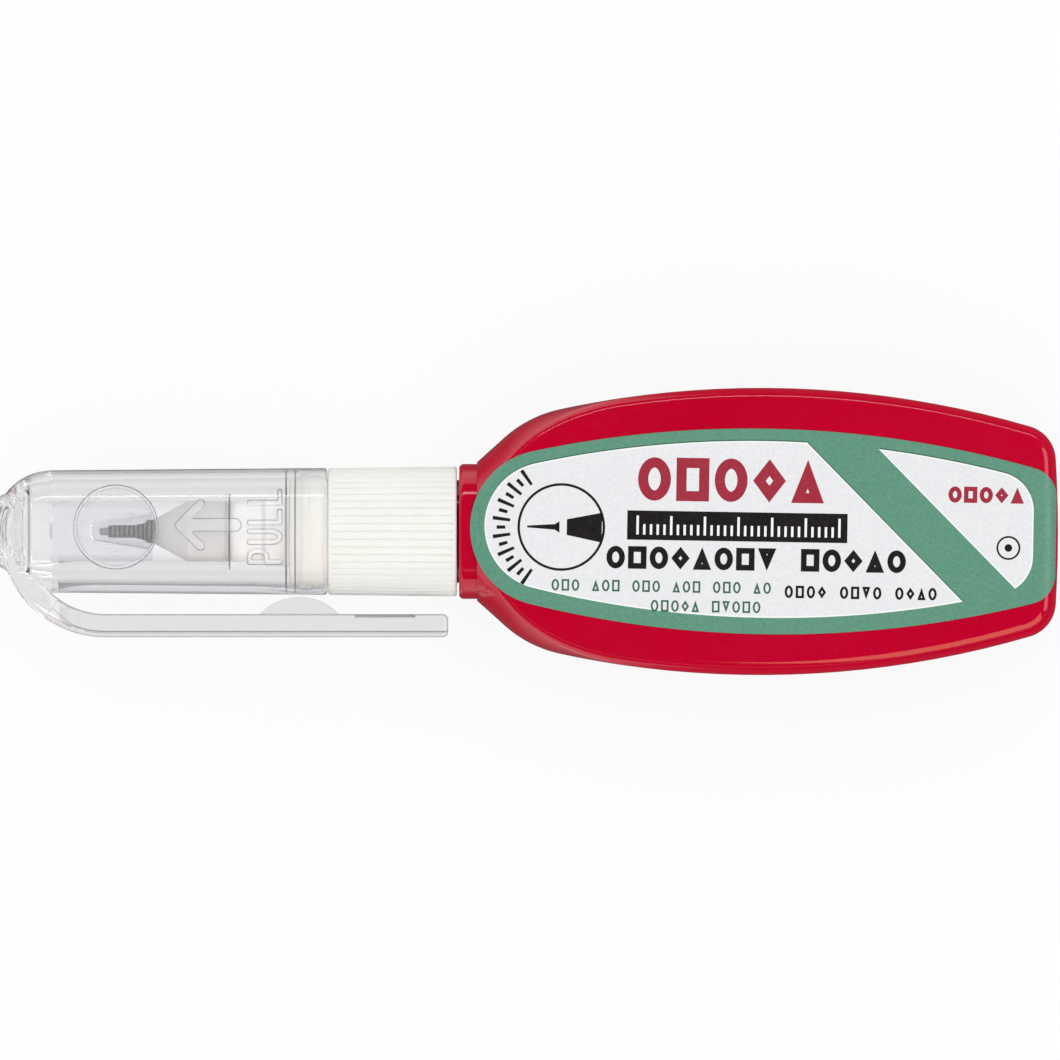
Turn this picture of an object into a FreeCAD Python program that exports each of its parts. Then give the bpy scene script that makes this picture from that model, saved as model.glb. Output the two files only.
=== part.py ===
import FreeCAD, Part
import math
import os

# Correction pen: a flat squeezable bottle with a round neck, a ribbed white collar,
# a metal tip with a sprung valve needle, and a clear pull-off cap with a pocket clip.
# Millimetres. X runs along the pen from the cap's nose to the bottle's base, Z is up.
# The pen lies on its back label, so Z = 0 is that label's face. X = 0 is mid-length.

# ---- Lengths along the axis, nose to base -------------------------------------------
cap_length = 35.6           # nose end to mouth
cap_mouth_gap = 0.1         # mouth to the collar's front face
collar_length = 14.0
collar_flange_gap = 0.25    # collar's back face to the red neck flange
neck_flange_length = 1.95
body_length = 63.1          # flange to base

# ---- Bottle -------------------------------------------------------------------------
body_width = 31.2
body_thickness = 15.6
body_wall = 1.3
body_side_radius = 104.4    # both long sides, seen from above
body_widest_at = 30.8       # behind the neck flange
body_end_radius = 133.0     # slight bow of the base
body_corner_radius = 3.9    # base corners, seen from above
body_edge_radius = 2.0      # rim of both flat faces
shoulder_start_radius = 7.55
shoulder_angle = 42.0       # degrees, half angle of the shoulder cone
shoulder_fullness = 1.6149068  # blend radius over the shoulder's rise to the widest point
neck_flange_radius = 7.34
neck_flange_rounding = 0.5
neck_outer_radius = 5.6
neck_bore_radius = 4.4
neck_bead_height = 0.2
neck_bead_length = 1.0
neck_bead_at = 5.5          # bead's front edge behind the neck's mouth

# ---- Labels -------------------------------------------------------------------------
label_thickness = 0.12
label_length = 63.6
label_end_gap = 0.25        # label's straight end to the base
label_half_width = 11.15
label_side_radius = 113.5
label_widest_from_end = 31.6
label_corner_radius = 3.2
front_label_turn = -0.95    # degrees, stuck on a little askew
back_label_turn = 0.0

# ---- Collar -------------------------------------------------------------------------
collar_front_radius = 6.9
collar_back_radius = 7.07
collar_rim = 0.45           # smooth rim at both ends of the ribs
collar_edge_radius = 0.3
collar_front_wall = 1.0
rib_count = 50
rib_groove_width = 0.36
rib_groove_depth = 0.2
spigot_length = 4.2         # the cap's seat, ahead of the ribbed part
spigot_radius = 5.9
snap_bead_height = 0.15
snap_bead_length = 0.8
snap_bead_at = 1.3          # bead's front edge behind the spigot's front face

# ---- Nozzle -------------------------------------------------------------------------
nozzle_front_at = 16.86     # behind the cap's nose
nozzle_front_radius = 1.35
nozzle_cone_length = 3.6
nozzle_barrel_radius = 3.3
nozzle_barrel_length = 8.0
nozzle_stem_radius = 3.8
nozzle_flange_radius = 5.45
nozzle_flange_thickness = 1.2
nozzle_tail_length = 3.0
nozzle_front_wall = 4.7     # nozzle's front face to the valve chamber
chamber_radius = 1.9
chamber_length = 11.4
tail_bore_radius = 3.0

# ---- Metal tip ----------------------------------------------------------------------
ferrule_flange_radius = 1.285
ferrule_flange_length = 0.96
ferrule_flare_length = 0.9
ferrule_flare_radius = 1.15     # where the flare meets the flange
ferrule_flare_hollow = 0.08     # how far the flare bows in at its middle
ferrule_band_length = 0.2       # plain band ahead of the flare
ferrule_neck_radius = 0.82
ferrule_shank_radius = 0.95
pipe_radius = 0.69
pipe_bore_radius = 0.47
pipe_reach = 5.1            # pipe's end ahead of the nozzle's front face
pipe_buried = 1.7           # pipe's length inside the nozzle
needle_radius = 0.415
needle_reach = 0.95         # needle's end ahead of the pipe's end
needle_point_radius = 0.2

# ---- Valve --------------------------------------------------------------------------
plunger_radius = 1.5
plunger_head_length = 2.4
plunger_stud_radius = 0.75
plunger_stud_length = 1.2
needle_socket_depth = 2.0
spring_wire_radius = 0.125
spring_radius = 1.2         # mean radius of the coil
spring_turns = 8
retainer_thickness = 1.2
retainer_bore_radius = 0.8

# ---- Neck seal and mixing ball ------------------------------------------------------
gasket_thickness = 0.6
gasket_radius = 5.5
ball_radius = 2.0
ball_from_base = 12.0       # the ball's centre to the base, where it lies at rest
ball_play = 0.05            # gap under the ball

# ---- Cap ----------------------------------------------------------------------------
cap_nose_radius = 4.2       # at the flat nose end
cap_nose_step = 0.65        # short straight stub before the rounded nose
cap_nose_length = 5.66
cap_nose_arc_radius = 6.35
cap_back_radius = 6.65
cap_mouth_radius = 6.9
cap_mouth_rounding = 0.35
cap_wall = 1.0
snap_groove_length = 1.2
spigot_bore_length = 4.4    # depth of the widened bore that takes the spigot
nose_dish_radius = 2.9
nose_hollow_radius = 4.6
nose_hollow_length = 0.93
nose_dish_depth = 1.25
sleeve_disc_radius = 5.2
sleeve_disc_thickness = 0.87
sleeve_radius = 4.05
sleeve_wall = 0.7
sleeve_length = 21.4        # beyond its disc
sleeve_lip_height = 0.12
sleeve_lip_length = 0.45
plug_from_disc = 1.2
plug_length = 11.7
plug_dome = 0.7
plug_mouth_radius = 2.1
plug_cavity_radius = 0.95
plug_cavity_length = 6.9

# ---- Clip ---------------------------------------------------------------------------
clip_reach = 11.5           # axis to the clip's outer face, also the bend's outer radius
clip_thickness = 2.5
clip_width = 4.6
clip_root_width = 8.2       # where the clip grows out of the nose
clip_root_taper_start = 2.6 # behind the nose, where the root begins to narrow
clip_root_taper_end = 9.4
clip_length = 48.75         # nose end to the clip's free end
clip_edge_radius = 0.5
clip_end_radius = 0.6
clip_hinge_angle = 55.0     # degrees round the bend, where the arm begins to flex
clip_split_gap = 0.02
bump_radius = 5.9
bump_at = 32.5              # behind the cap's nose
bump_gap = 0.25             # bump's crown to the cap
bump_width = 3.6
clip_groove_start = 38.6
clip_groove_end = 45.2
clip_groove_depth = 0.5
clip_groove_width = 2.4

# ---- Fits, all radial ---------------------------------------------------------------
running_fit = 0.05          # cap on collar, sleeve on nozzle
seat_fit = 0.02             # parts pushed together at assembly
bury = 0.5                  # how far a piece is made to run into its neighbour before joining
outside = 60.0              # larger than the pen's girth, for cutting shapes
same_point = 1e-6

# ---- Places that follow from the sizes above ----------------------------------------
overall_length = (cap_length + cap_mouth_gap + collar_length + collar_flange_gap
                  + neck_flange_length + body_length)
nose_x = -overall_length / 2
mouth_x = nose_x + cap_length
collar_x = mouth_x + cap_mouth_gap
collar_back_x = collar_x + collar_length
flange_x = collar_back_x + collar_flange_gap
body_x = flange_x + neck_flange_length
shoulder_blend_radius = shoulder_fullness * (body_width / 2 - shoulder_start_radius)
base_x = body_x + body_length
axis_z = label_thickness + body_thickness / 2

spigot_x = collar_x - spigot_length
nozzle_x = nose_x + nozzle_front_at
nozzle_seat_x = collar_x + collar_front_wall
gasket_x = nozzle_seat_x + nozzle_flange_thickness
neck_mouth_x = gasket_x + gasket_thickness
chamber_x = nozzle_x + nozzle_front_wall
retainer_x = chamber_x + chamber_length - retainer_thickness
plunger_x = chamber_x + seat_fit
spring_x = plunger_x + plunger_head_length
pipe_x = nozzle_x - pipe_reach
needle_x = pipe_x - needle_reach
disc_x = nose_x + cap_nose_step + nose_dish_depth + nose_hollow_length
sleeve_x = disc_x + sleeve_disc_thickness
sleeve_bore_radius = sleeve_radius - sleeve_wall
plug_x = sleeve_x + plug_from_disc
snap_bead_radius = spigot_radius + snap_bead_height
snap_bead_x = spigot_x + snap_bead_at

axis_direction = FreeCAD.Vector(1, 0, 0)
origin = FreeCAD.Vector(0, 0, 0)


# ---- Shapes -------------------------------------------------------------------------
def flat_point(x, y):
    return FreeCAD.Vector(x, y, 0)


def closed_face(outline):
    """Face inside an outline in the XY plane. An entry is a corner (x, y), or a pair
    (middle, end) for an arc from the corner before it. A straight edge closes a gap."""
    edges = []
    start = first = flat_point(*outline[0])
    for entry in outline[1:]:
        if isinstance(entry[0], tuple):
            middle, end = (flat_point(*entry[0]), flat_point(*entry[1]))
            edges.append(Part.Arc(start, middle, end).toShape())
        else:
            end = flat_point(*entry)
            edges.append(Part.LineSegment(start, end).toShape())
        start = end
    if not start.isEqual(first, same_point):
        edges.append(Part.LineSegment(start, first).toShape())
    return Part.Face(Part.Wire(edges))


def turned(outline):
    """Solid turned about the pen's axis from an outline of (x, radius)."""
    return closed_face(outline).revolve(origin, axis_direction, 360)


def round_bar(x_start, x_end, radius):
    return Part.makeCylinder(radius, x_end - x_start, flat_point(x_start, 0), axis_direction)


def slab(outline, thickness):
    """Outline in the XY plane, made into a plate centred on the axis."""
    face = closed_face(outline)
    face.translate(FreeCAD.Vector(0, 0, -thickness / 2))
    return face.extrude(FreeCAD.Vector(0, 0, thickness))


def arc_middle(centre, radius, first, last):
    """Middle of the shorter arc between two points of a circle."""
    x = (first[0] + last[0]) / 2 - centre[0]
    y = (first[1] + last[1]) / 2 - centre[1]
    stretch = radius / math.hypot(x, y)
    return (centre[0] + x * stretch, centre[1] + y * stretch)


def pushed(centre, point, distance):
    """The point at a distance from centre, in the direction of another point."""
    share = distance / math.dist(centre, point)
    return tuple(c + (p - c) * share for c, p in zip(centre, point))


def mirrored(point):
    return (point[0], -point[1])


def upper_crossing(first, first_radius, second, second_radius):
    """Where two circles cross, on the +Y side."""
    span = math.dist(first, second)
    along = (first_radius ** 2 - second_radius ** 2 + span ** 2) / (2 * span)
    aside = math.sqrt(first_radius ** 2 - along ** 2)
    ux, uy = ((second[0] - first[0]) / span, (second[1] - first[1]) / span)
    foot = (first[0] + ux * along, first[1] + uy * along)
    crossings = [(foot[0] - uy * turn * aside, foot[1] + ux * turn * aside) for turn in (1, -1)]
    return max(crossings, key=lambda point: point[1])


def surface_kinds(shape, edge):
    """The kinds of surface that meet at an edge, in alphabetical order."""
    faces = shape.ancestorsOfType(edge, Part.Face)
    return sorted(type(face.Surface).__name__ for face in faces)


# ---- Bottle and labels --------------------------------------------------------------
def body_outline(grow):
    """Bottle's plan, moved outward by grow: two long arcs, bowed base, rounded corners."""
    side_centre = (body_x + body_widest_at, body_width / 2 - body_side_radius)
    base_centre = (base_x - body_end_radius, 0)
    corner_centre = upper_crossing(side_centre, body_side_radius - body_corner_radius,
                                   base_centre, body_end_radius - body_corner_radius)
    side_radius = body_side_radius + grow
    front_x = body_x - grow
    front_y = side_centre[1] + math.sqrt(side_radius ** 2 - (front_x - side_centre[0]) ** 2)
    front = (front_x, front_y)
    crown = (side_centre[0], side_centre[1] + side_radius)
    corner_start = pushed(side_centre, corner_centre, side_radius)
    corner_end = pushed(base_centre, corner_centre, body_end_radius + grow)
    corner = arc_middle(corner_centre, body_corner_radius + grow, corner_start, corner_end)
    return [
        front,
        (crown, corner_start),
        (corner, corner_end),
        ((base_x + grow, 0), mirrored(corner_end)),
        (mirrored(corner), mirrored(corner_start)),
        (mirrored(crown), mirrored(front)),
    ]


def body_form(grow):
    """Bottle's body as one closed form, with every face moved outward by grow."""
    thickness = body_thickness + 2 * grow
    plate = slab(body_outline(grow), thickness)
    slope = math.tan(math.radians(shoulder_angle))
    front_x = body_x - grow
    front_radius = shoulder_start_radius + grow / math.cos(math.radians(shoulder_angle)) - grow * slope
    cone = turned([
        (front_x, 0),
        (front_x, front_radius),
        (front_x + (outside - front_radius) / slope, outside),
        (base_x + outside, outside),
        (base_x + outside, 0),
    ])
    form = plate.common(cone).removeSplitter()
    blends = [edge for edge in form.Edges if surface_kinds(form, edge) == ["Cone", "Cylinder"]]
    form = form.makeFillet(shoulder_blend_radius + grow, blends)
    rims = [edge for edge in form.Edges if on_flat_face(form, edge, thickness / 2)]
    return form.makeFillet(body_edge_radius + grow, rims)


def on_flat_face(shape, edge, height):
    """True where an edge bounds one of the two flat faces at plus or minus height."""
    for face in shape.ancestorsOfType(edge, Part.Face):
        flat = isinstance(face.Surface, Part.Plane)
        if flat and abs(abs(face.CenterOfMass.z) - height) < same_point:
            return True
    return False


def neck_flange(grow):
    """Red ring between the collar and the shoulder, moved outward by grow."""
    radius = neck_flange_radius + grow
    rounding = neck_flange_rounding + grow
    start, end = (flange_x - grow, body_x + bury)
    drop = rounding * (1 - math.sqrt(0.5))
    return turned([
        (start, 0),
        (start, radius - rounding),
        ((start + drop, radius - drop), (start + rounding, radius)),
        (end, radius),
        (end, 0),
    ])


def bottle():
    """One squeezable moulding: hollow body, red flange and neck with its retaining bead."""
    neck = round_bar(neck_mouth_x, body_x + bury, neck_outer_radius)
    bead_x = neck_mouth_x + neck_bead_at
    bead_radius = neck_outer_radius + neck_bead_height
    bead = turned([
        (bead_x, 0),
        (bead_x, neck_outer_radius),
        (bead_x + neck_bead_length / 2, bead_radius),
        (bead_x + neck_bead_length, bead_radius),
        (bead_x + neck_bead_length, 0),
    ])
    throat = round_bar(neck_mouth_x - bury, body_x + body_wall + bury, neck_bore_radius)
    solid = body_form(0).fuse([neck_flange(0), neck, bead])
    return solid.cut([body_form(-body_wall), throat]).removeSplitter()


def label_outline():
    """Label's plan: two long arcs, a round front end tangent to them, a straight base end."""
    end_x = base_x - label_end_gap
    widest_x = end_x - label_widest_from_end
    front_reach = label_length - label_widest_from_end
    sink = label_side_radius - label_half_width     # side arc's centre beyond the axis
    front_radius = ((label_side_radius ** 2 - sink ** 2 - front_reach ** 2)
                    / (2 * (label_side_radius - front_reach)))
    front_centre = (end_x - label_length + front_radius, 0)
    side_centre = (widest_x, -sink)
    front_end = pushed(side_centre, front_centre, label_side_radius)
    corner_x = end_x - label_corner_radius
    corner_span = label_side_radius - label_corner_radius
    corner_y = math.sqrt(corner_span ** 2 - (corner_x - widest_x) ** 2) - sink
    corner_centre = (corner_x, corner_y)
    corner_start = pushed(side_centre, corner_centre, label_side_radius)
    corner_end = (end_x, corner_y)
    corner = arc_middle(corner_centre, label_corner_radius, corner_start, corner_end)
    crown = (widest_x, label_half_width)
    return [
        front_end,
        (crown, corner_start),
        (corner, corner_end),
        mirrored(corner_end),
        (mirrored(corner), mirrored(corner_start)),
        (mirrored(crown), mirrored(front_end)),
        ((end_x - label_length, 0), front_end),
    ]


def label(side, turn):
    """Printed label that follows the bottle's face: side is 1 for front, -1 for back."""
    plan = closed_face(label_outline())
    centre = flat_point(base_x - label_end_gap - label_widest_from_end, 0)
    plan.rotate(centre, FreeCAD.Vector(0, 0, 1), turn)
    column = plan.extrude(FreeCAD.Vector(0, 0, side * outside))
    skin = body_form(label_thickness).fuse(neck_flange(label_thickness))
    return skin.common(column).cut([body_form(0), neck_flange(0)]).removeSplitter()


def mixing_ball():
    """Loose steel ball, lying on the reservoir's floor."""
    floor_z = body_wall - body_thickness / 2
    place = FreeCAD.Vector(base_x - ball_from_base, 0, floor_z + ball_play + ball_radius)
    return Part.makeSphere(ball_radius, place)


def neck_gasket():
    """Soft ring between the nozzle's flange and the neck's mouth."""
    ring = round_bar(gasket_x, neck_mouth_x, gasket_radius)
    return ring.cut(round_bar(gasket_x - bury, neck_mouth_x + bury, neck_bore_radius))


# ---- Collar and nozzle --------------------------------------------------------------
def rib_grooves():
    """Straight V grooves between the ribs, all round, following the collar's taper."""
    start = collar_x + collar_rim
    end = collar_back_x - collar_rim
    taper = (collar_back_radius - collar_front_radius) / collar_length
    bottoms = [collar_front_radius + taper * (x - collar_x) - rib_groove_depth for x in (start, end)]
    sections = []
    for x, bottom in zip((start, end), bottoms):
        corners = [
            FreeCAD.Vector(x, 0, bottom),
            FreeCAD.Vector(x, -rib_groove_width, bottom + 2 * rib_groove_depth),
            FreeCAD.Vector(x, rib_groove_width, bottom + 2 * rib_groove_depth),
        ]
        sections.append(Part.makePolygon(corners + corners[:1]))
    groove = Part.makeLoft(sections, True, True)
    grooves = []
    for index in range(rib_count):
        copy = groove.copy()
        copy.rotate(origin, axis_direction, index * 360 / rib_count)
        grooves.append(copy)
    return grooves


def grip_collar():
    """White ribbed ring that holds the nozzle on the neck, with the cap's spigot in front."""
    drop = collar_edge_radius * (1 - math.sqrt(0.5))
    back_corner_x = collar_back_x - collar_edge_radius
    body = turned([
        (collar_x, 0),
        (collar_x, collar_front_radius - collar_edge_radius),
        ((collar_x + drop, collar_front_radius - drop),
         (collar_x + collar_edge_radius, collar_front_radius)),
        (back_corner_x, collar_back_radius),
        ((collar_back_x - drop, collar_back_radius - drop),
         (collar_back_x, collar_back_radius - collar_edge_radius)),
        (collar_back_x, 0),
    ])
    spigot = turned([
        (spigot_x, 0),
        (spigot_x, spigot_radius - snap_bead_height),
        (spigot_x + snap_bead_height, spigot_radius),
        (snap_bead_x, spigot_radius),
        (snap_bead_x + snap_bead_length / 2, snap_bead_radius),
        (snap_bead_x + snap_bead_length, spigot_radius),
        (collar_x + bury, spigot_radius),
        (collar_x + bury, 0),
    ])
    bead_x = neck_mouth_x + neck_bead_at
    bead_bore = neck_outer_radius + neck_bead_height + running_fit
    bore = turned([
        (spigot_x - bury, 0),
        (spigot_x - bury, nozzle_stem_radius + running_fit),
        (nozzle_seat_x, nozzle_stem_radius + running_fit),
        (nozzle_seat_x, neck_outer_radius + running_fit),
        (bead_x - running_fit, neck_outer_radius + running_fit),
        (bead_x - running_fit, bead_bore),
        (bead_x + neck_bead_length + running_fit, bead_bore),
        (bead_x + neck_bead_length + running_fit, neck_outer_radius + running_fit),
        (collar_back_x + bury, neck_outer_radius + running_fit),
        (collar_back_x + bury, 0),
    ])
    return body.fuse(spigot).cut([bore] + rib_grooves()).removeSplitter()


def nozzle():
    """White inner moulding: cone, sealing barrel, stem, flange and tail, bored for the valve."""
    cone_end_x = nozzle_x + nozzle_cone_length
    barrel_end_x = cone_end_x + nozzle_barrel_length
    tail_end_x = gasket_x + nozzle_tail_length
    stem_step = nozzle_stem_radius - nozzle_barrel_radius
    solid = turned([
        (nozzle_x, 0),
        (nozzle_x, nozzle_front_radius),
        (cone_end_x, nozzle_barrel_radius),
        (barrel_end_x, nozzle_barrel_radius),
        (barrel_end_x + stem_step, nozzle_stem_radius),
        (nozzle_seat_x, nozzle_stem_radius),
        (nozzle_seat_x, nozzle_flange_radius),
        (gasket_x, nozzle_flange_radius),
        (gasket_x, neck_bore_radius - running_fit),
        (tail_end_x, neck_bore_radius - running_fit),
        (tail_end_x, 0),
    ])
    chamber_end_x = chamber_x + chamber_length
    bore = turned([
        (nozzle_x - bury, 0),
        (nozzle_x - bury, ferrule_shank_radius),
        (chamber_x, ferrule_shank_radius),
        (chamber_x, chamber_radius),
        (chamber_end_x, chamber_radius),
        (chamber_end_x + tail_bore_radius - chamber_radius, tail_bore_radius),
        (tail_end_x + bury, tail_bore_radius),
        (tail_end_x + bury, 0),
    ])
    return solid.cut(bore)


# ---- Metal tip and valve ------------------------------------------------------------
def tip_ferrule():
    """Turned metal holder: flared neck and flange outside, shank pressed into the nozzle."""
    flange_front_x = nozzle_x - ferrule_flange_length
    flare_x = flange_front_x - ferrule_flare_length
    flare_middle = ((flare_x + flange_front_x) / 2,
                    (ferrule_neck_radius + ferrule_flare_radius) / 2 - ferrule_flare_hollow)
    band_x = flare_x - ferrule_band_length
    pipe_end_x = nozzle_x + pipe_buried
    solid = turned([
        (band_x, 0),
        (band_x, ferrule_neck_radius),
        (flare_x, ferrule_neck_radius),
        (flare_middle, (flange_front_x, ferrule_flare_radius)),
        (flange_front_x, ferrule_flange_radius),
        (nozzle_x, ferrule_flange_radius),
        (nozzle_x, ferrule_shank_radius),
        (chamber_x, ferrule_shank_radius),
        (chamber_x, 0),
    ])
    bore = turned([
        (band_x - bury, 0),
        (band_x - bury, pipe_radius),
        (pipe_end_x, pipe_radius),
        (pipe_end_x, pipe_bore_radius),
        (chamber_x + bury, pipe_bore_radius),
        (chamber_x + bury, 0),
    ])
    return solid.cut(bore)


def tip_pipe():
    """Thin metal pipe that the correction fluid leaves by."""
    tube = round_bar(pipe_x, nozzle_x + pipe_buried, pipe_radius)
    return tube.cut(round_bar(pipe_x - bury, nozzle_x + pipe_buried + bury, pipe_bore_radius))


def valve_needle():
    """Wire that closes the pipe and stands out of it, with a rounded point."""
    end_x = plunger_x + needle_socket_depth
    drop = needle_point_radius * (1 - math.sqrt(0.5))
    return turned([
        (needle_x, 0),
        (needle_x, needle_radius - needle_point_radius),
        ((needle_x + drop, needle_radius - drop), (needle_x + needle_point_radius, needle_radius)),
        (end_x, needle_radius),
        (end_x, 0),
    ])


def needle_plunger():
    """Plastic holder of the needle, with a stud that centres the spring."""
    stud_end_x = spring_x + plunger_stud_length
    solid = turned([
        (plunger_x, 0),
        (plunger_x, plunger_radius),
        (spring_x, plunger_radius),
        (spring_x, plunger_stud_radius),
        (stud_end_x, plunger_stud_radius),
        (stud_end_x, 0),
    ])
    socket = round_bar(plunger_x - bury, plunger_x + needle_socket_depth, needle_radius)
    return solid.cut(socket)


def valve_spring():
    """Coil that pushes the needle forward: one wire wound on a helix between its seats."""
    length = retainer_x - spring_x - 2 * (spring_wire_radius + seat_fit)
    pitch = length / spring_turns
    helix = Part.makeHelix(pitch, length, spring_radius)
    climb = FreeCAD.Vector(0, 2 * math.pi * spring_radius, pitch)
    section = Part.Wire(Part.makeCircle(spring_wire_radius, FreeCAD.Vector(spring_radius, 0, 0), climb))
    coil = Part.Wire(helix.Edges).makePipeShell([section], True, True)
    coil.rotate(origin, FreeCAD.Vector(0, 1, 0), 90)
    coil.translate(flat_point(spring_x + spring_wire_radius + seat_fit, 0))
    print("spring: gap between turns", round(pitch - 2 * spring_wire_radius, 3))
    return coil


def spring_retainer():
    """Ring pushed into the nozzle behind the spring, open in the middle for the fluid."""
    ring = round_bar(retainer_x, retainer_x + retainer_thickness, chamber_radius - seat_fit)
    return ring.cut(round_bar(retainer_x - bury, retainer_x + retainer_thickness + bury,
                              retainer_bore_radius))


# ---- Cap ----------------------------------------------------------------------------
def cap_outline():
    """Cap's outside, nose to mouth, as far as the axis."""
    arc_centre = (nose_x + cap_nose_length, cap_back_radius - cap_nose_arc_radius)
    stub_x = nose_x + cap_nose_step
    stub_y = arc_centre[1] + math.sqrt(cap_nose_arc_radius ** 2 - (stub_x - arc_centre[0]) ** 2)
    nose_end = (arc_centre[0], cap_back_radius)
    nose_middle = arc_middle(arc_centre, cap_nose_arc_radius, (stub_x, stub_y), nose_end)
    drop = cap_mouth_rounding * (1 - math.sqrt(0.5))
    return [
        (nose_x, 0),
        (nose_x, cap_nose_radius - cap_mouth_rounding),
        (stub_x, stub_y),
        (nose_middle, nose_end),
        (mouth_x - cap_mouth_rounding, cap_mouth_radius),
        ((mouth_x - drop, cap_mouth_radius - drop), (mouth_x, cap_mouth_radius - cap_mouth_rounding)),
        (mouth_x, 0),
    ]


def cap_cavity():
    """Air inside the cap: dished nose, hollow, seat of the sleeve's disc, bore, snap groove."""
    dish_x = nose_x + cap_nose_step
    hollow_x = dish_x + nose_dish_depth
    dish_radius = (nose_dish_radius ** 2 + nose_dish_depth ** 2) / (2 * nose_dish_depth)
    dish_centre = (dish_x + dish_radius, 0)
    dish_middle = arc_middle(dish_centre, dish_radius, (dish_x, 0), (hollow_x, nose_dish_radius))
    back_bore_x = nose_x + cap_nose_length
    spigot_bore_x = mouth_x - spigot_bore_length
    lead_bore = snap_bead_radius + running_fit
    groove_start = snap_bead_x + snap_bead_length / 2 - snap_groove_length / 2
    groove_end = groove_start + snap_groove_length
    return turned([
        (dish_x, 0),
        (dish_middle, (hollow_x, nose_dish_radius)),
        (hollow_x, nose_hollow_radius),
        (disc_x, nose_hollow_radius),
        (disc_x, sleeve_disc_radius + seat_fit),
        (sleeve_x, sleeve_disc_radius + seat_fit),
        (back_bore_x, cap_back_radius - cap_wall),
        (spigot_bore_x, cap_mouth_radius - cap_wall - running_fit),
        (spigot_bore_x, spigot_radius + running_fit),
        (groove_start, spigot_radius + running_fit),
        (groove_start, lead_bore + snap_bead_height),
        (groove_end, lead_bore + snap_bead_height),
        (groove_end, lead_bore),
        (mouth_x + bury, lead_bore),
        (mouth_x + bury, 0),
    ])


def whole_clip():
    """Clip in one piece: a wide root, a quarter bend out of the nose end, and a straight arm."""
    bend_x = nose_x + clip_reach
    inner_radius = clip_reach - clip_thickness
    end_x = nose_x + clip_length
    outer_middle = arc_middle((bend_x, 0), clip_reach, (nose_x, 0), (bend_x, -clip_reach))
    inner_start = (bend_x, -inner_radius)
    inner_end = (nose_x + clip_thickness, 0)
    inner_middle = arc_middle((bend_x, 0), inner_radius, inner_start, inner_end)
    bar = slab([
        (nose_x, 0),
        (outer_middle, (bend_x, -clip_reach)),
        (end_x, -clip_reach),
        (end_x, -inner_radius),
        inner_start,
        (inner_middle, inner_end),
    ], clip_root_width)
    bar = bar.common(clip_planform())
    corners = [edge for edge in bar.Edges if upright_at(edge, end_x)]
    bar = bar.makeFillet(clip_end_radius, corners)
    outer = [edge for edge in bar.Edges if along_outer_face(edge, bend_x)]
    return bar.makeFillet(clip_edge_radius, outer)


def clip_planform():
    """Clip's outline seen along Y, made thick: the root narrows to the arm through two equal arcs."""
    root_half = clip_root_width / 2
    arm_half = clip_width / 2
    start_x = nose_x + clip_root_taper_start
    run = clip_root_taper_end - clip_root_taper_start
    drop = root_half - arm_half
    radius = (run ** 2 + drop ** 2) / (4 * drop)
    end_x = start_x + run
    waist = (start_x + run / 2, root_half - drop / 2)
    turn = math.asin(run / 2 / radius) / 2
    rise = radius * (1 - math.cos(turn))
    slide = radius * math.sin(turn)
    first = (start_x + slide, root_half - rise)
    second = (end_x - slide, arm_half + rise)
    far_x = nose_x + clip_length + bury
    face = closed_face([
        (nose_x - bury, -root_half),
        (start_x, -root_half),
        ((first[0], -first[1]), (waist[0], -waist[1])),
        ((second[0], -second[1]), (end_x, -arm_half)),
        (far_x, -arm_half),
        (far_x, arm_half),
        (end_x, arm_half),
        (second, waist),
        (first, (start_x, root_half)),
        (nose_x - bury, root_half),
    ])
    face.rotate(origin, axis_direction, 90)
    face.translate(FreeCAD.Vector(0, outside / 2, 0))
    return face.extrude(FreeCAD.Vector(0, -outside, 0))


def upright_at(edge, x):
    """True for an edge that stands parallel to Z at this x."""
    box = edge.BoundBox
    return abs(box.XMin - x) < same_point and abs(box.XMax - x) < same_point and box.YLength < same_point


def along_outer_face(edge, bend_x):
    """True for a long edge of the clip's outer face: on the bend or on the straight arm."""
    points = (edge.firstVertex().Point, edge.lastVertex().Point)
    reaches_along = abs(points[0].x - points[1].x) > same_point
    return reaches_along and all(outer_face_distance(point, bend_x) < same_point for point in points)


def outer_face_distance(point, bend_x):
    if point.x < bend_x:
        return abs(math.hypot(point.x - bend_x, point.y) - clip_reach)
    return abs(point.y + clip_reach)


def root_wedge(margin):
    """Everything on the nose side of the clip's split, moved back by margin."""
    centre = (nose_x + clip_reach, 0)
    angle = math.radians(clip_hinge_angle)
    along = (-math.cos(angle), -math.sin(angle))
    across = (-math.sin(angle) * margin, math.cos(angle) * margin)
    far = (centre[0] + along[0] * outside + across[0], along[1] * outside + across[1])
    return slab([
        (centre[0] + across[0], across[1]),
        far,
        (far[0] - outside, far[1]),
        (centre[0] - outside * 2, outside),
        (centre[0] + across[0], outside),
    ], clip_root_width + 2 * bury)


def cap_shell():
    """Clear cap with the clip's root moulded on, hollow down to its dished nose."""
    root = whole_clip().common(root_wedge(clip_split_gap))
    return turned(cap_outline()).fuse(root).cut(cap_cavity()).removeSplitter()


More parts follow.
